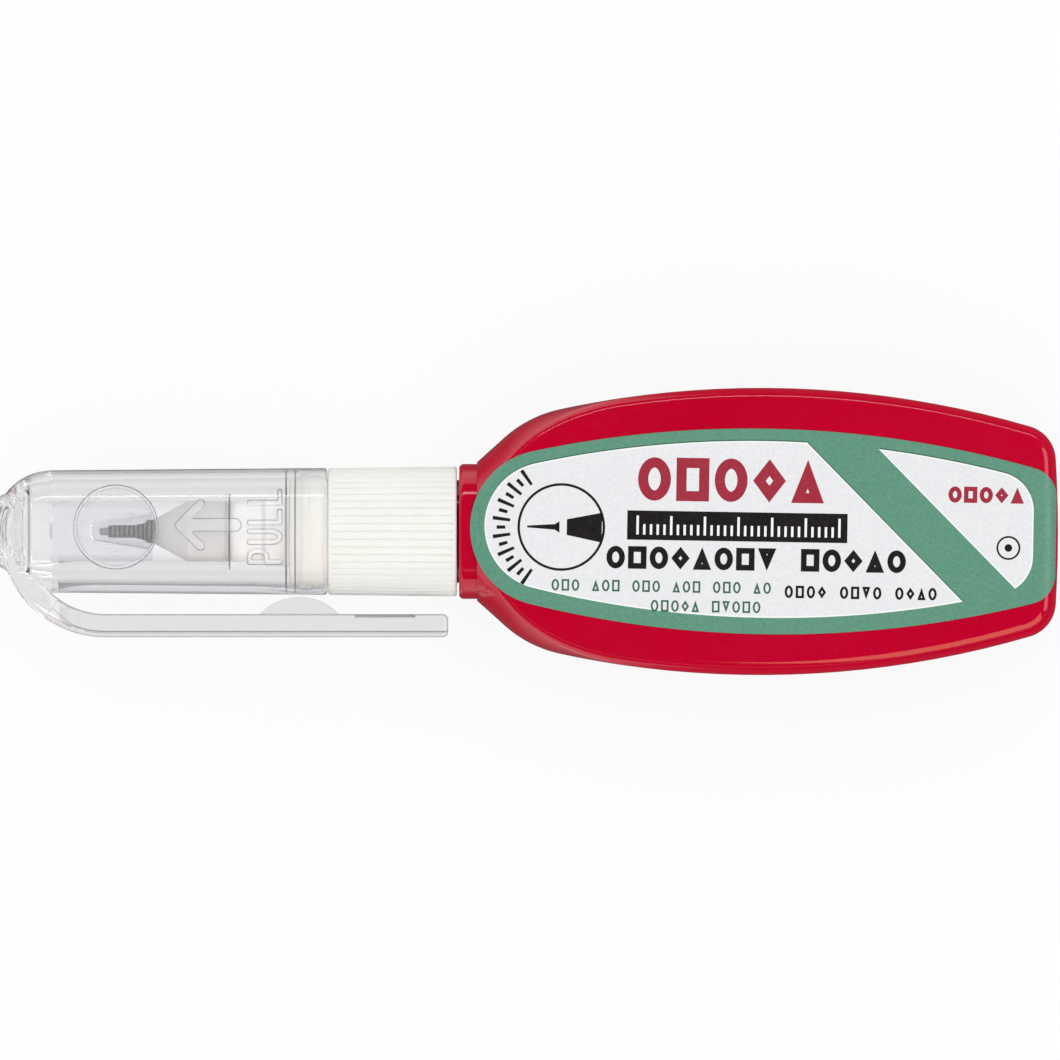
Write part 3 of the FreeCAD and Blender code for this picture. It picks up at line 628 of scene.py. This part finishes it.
# Pale field behind the stripe: a triangle with its base corners rounded off.
def endPanel(grow):
    slant, along, across = label["endPoints"]
    rise = -grow * label["stripeGrow"]
    end = label["endX"] - label["panelEnd"] + grow
    x = easedSteps(label["widestX"], end, label["searchPoints"])
    upper, lower = panelEdges(x, grow)
    diagonal = stripeLine(x, label["stripeRight"], rise)
    starts = np.interp(0, (upper - diagonal), x)
    meets = np.interp(0, (lower - diagonal), x)
    x = np.union1d(np.linspace(starts, meets, slant), easedSteps(meets, end, along))
    upper, lower = panelEdges(x, grow)
    lower = np.minimum(np.maximum(lower, stripeLine(x, label["stripeRight"], rise)), upper)
    return fillBetween(x, upper, lower, across)


# Turns plan grids about the label's widest point.
def turnedPlan(grids, angle):
    turn = math.radians(angle)
    matrix = np.array([(math.cos(turn), math.sin(turn)), (-math.sin(turn), math.cos(turn))])
    pivot = np.array((label["widestX"], 0.0))
    return [(grid - pivot) @ matrix + pivot for grid in grids]


# One printed layer: its shapes lie a little higher than the layer before.
def labelLayer(name, grids, finish, layer, side, turn):
    lift = label["sheetLift"] + layer * label["layerLift"]
    thickness = lift - label["sheetGap"] if layer == 0 else label["layerDepth"]
    piece = meshFromGrids(name, turnedPlan(grids, turn))
    layOnBottle(piece, side, lift, thickness)
    piece.data.materials.append(materials[finish])
    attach(piece, "pen")
    return piece


def labelSheet():
    along, across = label["sheetPoints"]
    x = easedSteps(label["frontX"], label["endX"], along)
    half = labelEdge(x, 0.0, label["endX"], label["cornerRadius"])
    return [fillBetween(x, half, -half, across)]


# Generic prints in the places of the label's words: plain figures, ticks and bars.
prints = {
    "dial": {"centre": (3.55, 0.12), "radius": 4.62, "line": 0.27},
    "dialTicks": {"radius": 6.55, "length": 1.9, "width": 0.36, "from": 126, "to": 236,
                  "count": 15, "short": 0.5},
    "tip": {"needle": ((-3.7, 0.1), (-0.7, 0.3), (-0.2, 0.62)),     # ahead, half height
            "nozzle": ((0.6, 0.85), (4.4, 1.62))},
    "redRow": {"from": 11.8, "to": 32.0, "middle": 5.5, "tall": 4.7, "count": 5,
               "stroke": 1.1, "gap": 0.6},
    "smallRedRow": {"from": 45.5, "to": 53.7, "middle": 4.35, "tall": 1.75, "count": 5,
                    "stroke": 0.48, "gap": 0.25},
    "bar": {"x": (10.7, 34.6), "y": (-1.12, 2.05)},
    "barTicks": {"from": 11.7, "to": 33.6, "low": -0.55, "tall": 2.05, "pitch": 0.73,
                 "stroke": 0.26, "short": 0.55, "group": 5},
    "boldRow": {"from": 8.5, "to": 41.0, "middle": -3.05, "tall": 2.45, "count": 14,
                "stroke": 0.62, "gap": 0.34, "skip": 9},
    "fineRow": {"from": 27.9, "to": 44.4, "middle": -6.5, "tall": 1.35, "count": 14,
                "stroke": 0.26, "gap": 0.3, "skip": 5},
    "greenRows": [
        {"from": 2.6, "to": 26.4, "middle": -6.15, "tall": 1.25, "count": 22,
         "stroke": 0.2, "gap": 0.28, "skip": 4},
        {"from": 13.4, "to": 26.4, "middle": -8.25, "tall": 1.25, "count": 12,
         "stroke": 0.2, "gap": 0.28, "skip": 6},
    ],
    "ring": {"centre": (52.1, -1.35), "radius": 1.2, "line": 0.2, "dot": 0.42},
}
figures = [     # sides and turn of ring, box, ring, gem, peak, ring, box, peak down
    (48, 0), (4, 45), (48, 0), (4, 0), (3, 90), (48, 0), (4, 45), (3, -90)]


# A row of plain outlined figures of one size, cycling through rings, boxes, gems and peaks.
def figureRow(row):
    skip = row.get("skip", row["count"] + 1)
    pitch = (row["to"] - row["from"] + row["gap"]) / row["count"]
    grids = []
    for index in range(row["count"]):
        if index % skip == skip - 1:
            continue        # a gap between groups
        sides, turn = figures[index % len(figures)]
        x = row["from"] + pitch * index + (pitch - row["gap"]) / 2
        grids.append(figureBand((x, row["middle"]), (pitch - row["gap"]) / 2, row["tall"] / 2,
                                sides, turn, row["stroke"]))
    return grids


# Rule marks: the first tick of each group is full height, the others are shorter.
def ruleTicks(row):
    grids = []
    count = int((row["to"] - row["from"]) / row["pitch"]) + 1
    for index in range(count):
        x = row["from"] + row["pitch"] * index
        tall = row["tall"] * (1.0 if index % row["group"] == 0 else row["short"])
        grids.append(rectangle(x, x + row["stroke"], row["low"], row["low"] + tall))
    return grids


# A thin tip ahead of a flaring nozzle, inside the dial, alike above and below its middle.
def tipPictogram():
    cx, cy = prints["dial"]["centre"]
    return [band([(cx + ahead, cy + half) for ahead, half in shape],
                 [(cx + ahead, cy - half) for ahead, half in shape])
            for shape in prints["tip"].values()]


# Ticks on an arc outside the dial. Every second one is shorter.
def dialTicks():
    spec = prints["dialTicks"]
    half = math.degrees(spec["width"] / spec["radius"] / 2)
    ticks = []
    for index, middle in enumerate(np.linspace(spec["from"], spec["to"], spec["count"])):
        length = spec["length"] * (1.0 if index % 2 == 0 else spec["short"])
        ticks.append(ringBand(prints["dial"]["centre"], spec["radius"], length,
                              middle - half, middle + half, 4))
    return ticks


def blackPrints():
    dial, ring = prints["dial"], prints["ring"]
    grids = [ringBand(dial["centre"], dial["radius"], dial["line"])]
    grids += tipPictogram() + dialTicks()
    grids += [rectangle(*prints["bar"]["x"], *prints["bar"]["y"])]
    grids += figureRow(prints["boldRow"]) + figureRow(prints["fineRow"])
    grids += [ringBand(ring["centre"], ring["radius"], ring["line"], steps=48)]
    grids += [ringBand(ring["centre"], ring["dot"] / 2, ring["dot"] - 0.01, steps=24)]
    return grids


def makeFrontLabel():
    turn = label["turn"]
    sheet = labelLayer("labelSheet", labelSheet(), "label_green", 0, 1, turn)
    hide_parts("front_label")
    margin = label["brightEdge"]
    shift = np.array(label["shadowShift"])
    shadow = [mainPanel(margin) + shift, endPanel(margin) + shift]
    labelLayer("labelShadow", shadow, "label_dark", 1, 1, turn)
    labelLayer("labelMargin", [mainPanel(margin), endPanel(margin)], "label_bright", 2, 1, turn)
    labelLayer("labelPanels", [mainPanel(0), endPanel(0)], "label_white", 3, 1, turn)
    labelLayer("labelBlack", blackPrints(), "ink_black", 4, 1, turn)
    reds = figureRow(prints["redRow"]) + figureRow(prints["smallRedRow"])
    labelLayer("labelRed", reds, "ink_red", 4, 1, turn)
    greens = [grid for row in prints["greenRows"] for grid in figureRow(row)]
    labelLayer("labelFine", greens, "label_dark", 4, 1, turn)
    labelLayer("labelRule", ruleTicks(prints["barTicks"]), "label_bright", 5, 1, turn)


backRows = {
    "count": 7, "from": 6.5, "to": 48.0, "top": 5.4, "pitch": 1.75, "tall": 1.0,
    "figures": 40, "stroke": 0.17, "gap": 0.26, "group": 7,
    "indent": 1.0, "ragged": 3.0, "fewer": 2,       # how the rows differ from one another
    "points": (120, 16),
}


# Plainer label underneath: a green border, one pale panel and rows of marks.
def makeBackLabel():
    b = backRows
    along, across = b["points"]
    sheet = labelLayer("backLabelSheet", labelSheet(), "label_green", 0, -1, 0)
    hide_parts("back_label")
    x = easedSteps(label["frontX"] + label["panelInset"], label["endX"] - label["panelEnd"], along)
    panel = fillBetween(x, *panelEdges(x, 0.0), across)
    labelLayer("backLabelPanel", [panel], "label_white", 1, -1, 0)
    rows = []
    for index in range(b["count"]):
        third = index % 3
        rows += figureRow({
            "from": b["from"] + b["indent"] * (index % 2), "to": b["to"] - b["ragged"] * third,
            "middle": b["top"] - index * b["pitch"], "tall": b["tall"],
            "count": b["figures"] - b["fewer"] * third, "stroke": b["stroke"], "gap": b["gap"],
            "skip": b["group"] + third})
    labelLayer("backLabelMarks", rows, "ink_black", 2, -1, 0)


sleeve = {
    "discRadius": 5.2, "discThickness": 0.87, "radius": 4.05, "boreRadius": 3.35,
    "lipHeight": 0.12, "lipLength": 0.45, "softening": 0.06,
    "clearance": 0.03,       # keeps its disc off the cap's seat
}


# Closed surface of a profile (x, r) turned about the pen's axis:
# y = r cos a, z = axis + r sin a.
def turnedPiece(name, profile, steps=128):
    profile = np.array(profile, float)
    angle = np.arange(steps) * 2 * math.pi / steps
    x = np.repeat(profile[:, :1], steps, axis=1)
    radius = profile[:, 1:]
    corners = np.stack([x, radius * np.cos(angle), axisZ + radius * np.sin(angle)], -1)
    piece = newPiece(name, corners.reshape(-1, 3) * mm, ringQuads(len(profile), steps))
    addWeld(piece)
    applyModifiers(piece)
    smoothWithCreases(piece)
    return piece


# Clear insert: a disc behind the nose and a sleeve with a small lip at its mouth.
def makeSleeve():
    s = sleeve
    front, end = sleeveLow[0] / mm + s["clearance"], sleeveHigh[0] / mm
    back, lip = sleeveLow[0] / mm + s["discThickness"], end - s["lipLength"]
    disc, tube, bore, soft = s["discRadius"], s["radius"], s["boreRadius"], s["softening"]
    tall = tube + s["lipHeight"]
    piece = turnedPiece("capSleeve", [
        (front, 0), (front, disc - soft), (front + soft, disc), (back - soft, disc),
        (back, disc - soft), (back, tube + soft), (back + soft, tube),
        (lip - s["lipHeight"], tube), (lip, tall), (end - soft, tall), (end, tall - soft),
        (end, bore + soft), (end - soft, bore), (back, bore), (back, 0)])
    piece.data.materials.append(materials["clear_sleeve"])
    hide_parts("cap_sleeve")
    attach(piece, "cap")


spring = {
    "radius": 1.2, "wireRadius": 0.125, "turns": 8, "steps": 20, "sides": 10,
    "seated": 0.6,           # length at each end that stays still against its seat
}


# Coil between the needle's holder and the ring behind it: a circle carried along
# x = start + length t, y = r cos a, z = axis + r sin a, with a = 2 pi turns t.
def makeSpring():
    s = spring
    low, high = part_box("valve_spring")
    start, end = low[0] / mm + s["wireRadius"], high[0] / mm - s["wireRadius"]
    share = np.linspace(0, 1, s["turns"] * s["steps"] + 1)[:, None]
    angle = 2 * math.pi * s["turns"] * share
    level = 0 * angle
    outward = np.concatenate([level, np.cos(angle), np.sin(angle)], 1)
    climb = level + (end - start) / (2 * math.pi * s["turns"] * s["radius"])
    along = np.concatenate([climb, -np.sin(angle), np.cos(angle)], 1)
    across = np.cross(along / np.linalg.norm(along, axis=1)[:, None], outward)
    axis = np.concatenate([start + (end - start) * share, level, level + axisZ], 1)
    line = axis + s["radius"] * outward
    rows = np.concatenate([[0], np.arange(len(line)), [len(line) - 1]])
    wire = np.full((len(rows), 1, 1), s["wireRadius"])
    wire[[0, -1]] = 0           # closes each end
    turn = np.arange(s["sides"])[:, None] * 2 * math.pi / s["sides"]
    around = outward[rows][:, None] * np.cos(turn) + across[rows][:, None] * np.sin(turn)
    corners = line[rows][:, None] + wire * around
    piece = newPiece("valveSpring", corners.reshape(-1, 3) * mm, ringQuads(len(rows), s["sides"]))
    addWeld(piece)
    applyModifiers(piece)
    piece.data.shade_smooth()
    piece.data.materials.append(materials["bright_steel"])
    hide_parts("valve_spring")
    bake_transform(piece)


# Raised marks on the cap: a ring where the tip shows, an arrow, and the word for what to do.
relief = {
    "height": 0.13, "sunk": 0.03, "shoulder": 0.13, "step": 0.06,
    "from": (-49.9, -4.6), "to": (-26.2, 5.5),
    "ringCentre": (-44.82, 0.49), "ringRadius": 4.42, "ringWidth": 0.10,
    "arrowTip": (-37.9, 0.71), "arrowHead": -35.6, "arrowSpan": 2.3, "arrowEnd": -31.9,
    "barbWidth": 0.72, "shaftFrom": 0.5, "shaftWidth": 1.2,
    "word": "PULL", "wordTop": -30.3, "wordFoot": -27.0, "wordLow": -3.35, "wordHigh": 4.35,
    "letterWidth": 1.2, "letterStroke": 0.30, "arcPoints": 13, "wall": 0.05,
    "straightFrom": 5.66, "backRadius": 6.65, "mouthRadius": 6.9, "mouthRounding": 0.35,
}
letterLines = {      # across and up, in letter widths and letter heights
    "P": [[(0, 0), (0, 1)], [(0, 1), (0.5, 1)], "bowl", [(0.5, 0.44), (0, 0.44)]],
    "U": [[(0, 1), (0, 0.3)], "cup", [(1, 0.3), (1, 1)]],
    "L": [[(0, 1), (0, 0)], [(0, 0), (1, 0)]],
}
letterArcs = {       # centre, half width, half height, first and last angle
    "bowl": ((0.5, 0.72), 0.5, 0.28, 90, -90),
    "cup": ((0.5, 0.3), 0.5, 0.3, 180, 360),
}


# Lines of one letter on the cap. It stands with its top to the nose and reads along +Y.
def letterPaths(letter, low):
    r = relief
    paths = []
    for part in letterLines[letter]:
        if isinstance(part, str):
            (across, up), halfWide, halfTall, first, last = letterArcs[part]
            angle = np.radians(np.linspace(first, last, r["arcPoints"]))
            part = np.stack([across + halfWide * np.cos(angle), up + halfTall * np.sin(angle)], 1)
        line = np.array(part, float)
        x = r["wordFoot"] + (r["wordTop"] - r["wordFoot"]) * line[:, 1]
        paths.append(np.stack([x, low + r["letterWidth"] * line[:, 0]], 1))
    return paths


# Least distance from plan points to a line of points, taken one straight run at a time.
def distanceTo(x, y, line):
    nearest = np.full(x.shape, np.inf)
    for (ax, ay), (bx, by) in zip(line[:-1], line[1:]):
        runX, runY = bx - ax, by - ay
        share = np.clip(((x - ax) * runX + (y - ay) * runY) / (runX ** 2 + runY ** 2), 0, 1)
        nearest = np.minimum(nearest, np.hypot(x - ax - share * runX, y - ay - share * runY))
    return nearest


# Depth inside the raised marks: half a stroke's width less the distance to its line, at its
# largest.
def markDepth(x, y):
    r = relief
    cx, cy = r["ringCentre"]
    depth = r["ringWidth"] / 2 - np.abs(np.hypot(x - cx, y - cy) - r["ringRadius"])
    tip = np.array(r["arrowTip"])
    barbs = [(r["arrowHead"], tip[1] + r["arrowSpan"]), tip,
             (r["arrowHead"], tip[1] - r["arrowSpan"])]
    depth = np.maximum(depth, r["barbWidth"] / 2 - distanceTo(x, y, barbs))
    shaft = [tip + (r["shaftFrom"], 0), (r["arrowEnd"], tip[1])]
    depth = np.maximum(depth, r["shaftWidth"] / 2 - distanceTo(x, y, shaft))
    pitch = (r["wordHigh"] - r["wordLow"] - r["letterWidth"]) / (len(r["word"]) - 1)
    for index, letter in enumerate(r["word"]):
        for path in letterPaths(letter, r["wordLow"] + pitch * index):
            depth = np.maximum(depth, r["letterStroke"] / 2 - distanceTo(x, y, path))
    return depth


# Marks as a height over the cap's taper: it climbs smoothly over the shoulder from just inside
# the wall to a flat top. Only the cells that climb are kept.
def makeCapRelief():
    r = relief
    x, y = np.meshgrid(np.arange(r["from"][0], r["to"][0], r["step"]),
                       np.arange(r["from"][1], r["to"][1], r["step"]), indexing="ij")
    climb = np.clip((markDepth(x, y) + r["shoulder"]) / r["shoulder"], 0, 1)
    lift = climb * climb * (3 - 2 * climb) * (r["height"] + r["sunk"]) - r["sunk"]
    start, end = noseX + r["straightFrom"], mouthX - r["mouthRounding"]
    radius = r["backRadius"] + (r["mouthRadius"] - r["backRadius"]) * (x - start) / (end - start)
    up = np.sqrt(radius ** 2 - y ** 2)
    z = axisZ + up + lift * up / radius
    corners = np.stack([x, y + lift * y / radius, z], -1).reshape(-1, 3) * mm
    quads = gridQuads(np.arange(x.size).reshape(x.shape))
    quads = quads[(climb.reshape(-1)[quads] > 0).any(axis=1)]
    used, faces = np.unique(quads, return_inverse=True)
    piece = newPiece("capRelief", corners[used], faces.reshape(-1, 4))
    makeWall(piece, r["wall"])
    piece.data.shade_smooth()
    piece.data.materials.append(materials["clear_relief"])
    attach(piece, "cap")


studio = {
    "floorGlow": {"camera": 0.88, "through": 0.93},  # share of the floor that shows as plain white
    "throughLevel": 0.77,    # and how bright it is behind clear plastic
    # floorMirror's near level is a painted shadow beside the pen in the floor's reflections
    "floorMirror": {"share": 0.95, "near": 0.06, "far": 0.95,
                    "sides": (16.0, 30.0), "along": (14.0, 0.0)},
    "floorColor": (0.90, 0.90, 0.90, 1),
    "floorReach": 4.0, "floorDrop": 0.0001,      # metres
    "sky": ((0.0, 0.75), (0.12, 0.95), (0.45, 1.08), (1.0, 1.12)),   # ray's height, brightness
    "inside": 1.6,           # extra sky for what stands behind clear plastic
    "gleam": ((0.0, 0.02), (0.28, 0.02), (0.31, 0.5), (0.36, 0.5), (0.40, 0.02), (1.0, 0.0)),
    "bounces": 96,           # light runs a long way inside the clear wall
}
lamps = {       # metres
    "warmLight": {"at": (0.28, -0.42, 0.46), "size": (0.50, 0.36), "radiance": 3.8,
                  "color": (1.0, 0.58, 0.36)},
    "strip": {"at": (0.03, 0.68, 0.27), "size": (1.0, 0.05), "radiance": 5.0,
              "color": (1, 1, 1)},
    "endStrip": {"at": (0.62, 0.05, 0.42), "size": (0.5, 0.26), "radiance": 3.0,
                 "color": (1.0, 0.86, 0.80)},
}


# 1 for a reflected ray alone: a ray through clear plastic counts as glossy too.
def mirrorRay(tree, path):
    glossy, through = path.outputs["Is Glossy Ray"], path.outputs["Is Transmission Ray"]
    return mathNode(tree, "SUBTRACT", glossy, through, clamp=True)


# Brightness of the floor in reflections, a painted shadow: dim close beside the pen, where its own
# shadow lies, and behind the shoulder. near + (far - near) * ramp(|y|) * ramp(x).
def mirrorLevel(tree):
    spec = studio["floorMirror"]
    split = addNode(tree, "ShaderNodeSeparateXYZ", Vector=objectPoint(tree))
    away = mathNode(tree, "ABSOLUTE", split.outputs["Y"])
    spans = ((away, spec["sides"]), (split.outputs["X"], spec["along"]))
    ramps = [mapRange(tree, place, start * mm, end * mm, interpolation_type="SMOOTHSTEP")
             for place, (start, end) in spans]
    both = mathNode(tree, "MULTIPLY", *ramps, clamp=True)
    return mapRange(tree, both, 0.0, 1.0, spec["near"], spec["far"])


def makeFloor():
    material = bpy.data.materials.new("floor")
    material.use_nodes = True
    tree = material.node_tree
    tree.nodes.clear()
    path = tree.nodes.new("ShaderNodeLightPath")
    shader = addNode(tree, "ShaderNodeBsdfDiffuse", Color=studio["floorColor"]).outputs[0]
    for ray, share, level in (
            (path.outputs["Is Camera Ray"], studio["floorGlow"]["camera"], 1.0),
            (path.outputs["Is Transmission Ray"], studio["floorGlow"]["through"],
             studio["throughLevel"]),
            (mirrorRay(tree, path), studio["floorMirror"]["share"], mirrorLevel(tree))):
        light = addNode(tree, "ShaderNodeEmission", Color=(1, 1, 1, 1), Strength=level)
        share = mathNode(tree, "MULTIPLY", ray, share, clamp=True)
        shader = mixShaders(tree, share, shader, light.outputs[0])
    output = tree.nodes.new("ShaderNodeOutputMaterial")
    setInput(tree, output.inputs[0], shader)
    reach, low = studio["floorReach"], -studio["floorDrop"]
    corners = [(-reach, -reach, low), (reach, -reach, low),
               (reach, reach, low), (-reach, reach, low)]
    floor = newPiece("floor", np.array(corners), np.array([(0, 1, 2, 3)]))
    floor.data.materials.append(material)


# Background shader whose brightness goes by the height of the ray.
def skyShader(tree, height, steps, strength=1.0):
    ramp = tree.nodes.new("ShaderNodeValToRGB")
    while len(ramp.color_ramp.elements) < len(steps):
        ramp.color_ramp.elements.new(0.5)
    for element, (place, level) in zip(ramp.color_ramp.elements, steps):
        element.position = place
    for element, (place, level) in zip(ramp.color_ramp.elements, steps):
        element.color = (level, level, level, 1)
    setInput(tree, ramp.inputs[0], height)
    shader = addNode(tree, "ShaderNodeBackground", Color=ramp.outputs[0], Strength=strength)
    return shader.outputs[0]


# White behind the pen, a soft bright sky for its light, and a dark one with a bright band
# low down for its reflections.
def makeWorld():
    world = bpy.data.worlds.new("studio")
    world.use_nodes = True
    tree = world.node_tree
    tree.nodes.clear()
    place = tree.nodes.new("ShaderNodeTexCoord")
    height = addNode(tree, "ShaderNodeSeparateXYZ", Vector=place.outputs["Generated"]).outputs["Z"]
    path = tree.nodes.new("ShaderNodeLightPath")
    plain = addNode(tree, "ShaderNodeBackground", Color=(1, 1, 1, 1), Strength=1.0)
    shader = skyShader(tree, height, studio["sky"])
    for ray, other in (
            (path.outputs["Is Transmission Ray"],
             skyShader(tree, height, studio["sky"], studio["inside"])),
            (mirrorRay(tree, path), skyShader(tree, height, studio["gleam"])),
            (path.outputs["Is Camera Ray"], plain.outputs[0])):
        shader = mixShaders(tree, ray, shader, other)
    output = tree.nodes.new("ShaderNodeOutputWorld")
    setInput(tree, output.inputs[0], shader)
    world.cycles.sampling_method = "NONE"       # each ray sees the sky meant for its kind
    bpy.context.scene.world = world


# Flat lamp aimed at the pen. Its power follows from its area and its radiance.
def areaLamp(name):
    spec = lamps[name]
    data = bpy.data.lights.new(name, "AREA")
    data.shape = "RECTANGLE"
    data.size, data.size_y = spec["size"]
    data.color = spec["color"]
    data.energy = spec["radiance"] * math.pi * spec["size"][0] * spec["size"][1]
    lamp = bpy.data.objects.new(name, data)
    lamp.location = spec["at"]
    lamp.visible_diffuse = False        # it only glints
    lamp.visible_transmission = False
    lamp.rotation_euler = (-lamp.location).to_track_quat("-Z", "Y").to_euler()
    bpy.context.collection.objects.link(lamp)


def setRender():
    scene = bpy.context.scene
    scene.view_settings.view_transform = "Standard"
    scene.cycles.max_bounces = studio["bounces"]
    scene.cycles.transmission_bounces = studio["bounces"]
    scene.cycles.glossy_bounces = studio["bounces"]


setCamera()
makeFloor()
makeWorld()
for lampName in lamps:
    areaLamp(lampName)
setRender()
print("studio set")
dressNodes()
print("nodes dressed")
makeFrontLabel()
makeBackLabel()
print("labels printed")
makeSleeve()
makeCapRelief()
print("cap fitted and marked")
makeSpring()
print("spring wound")
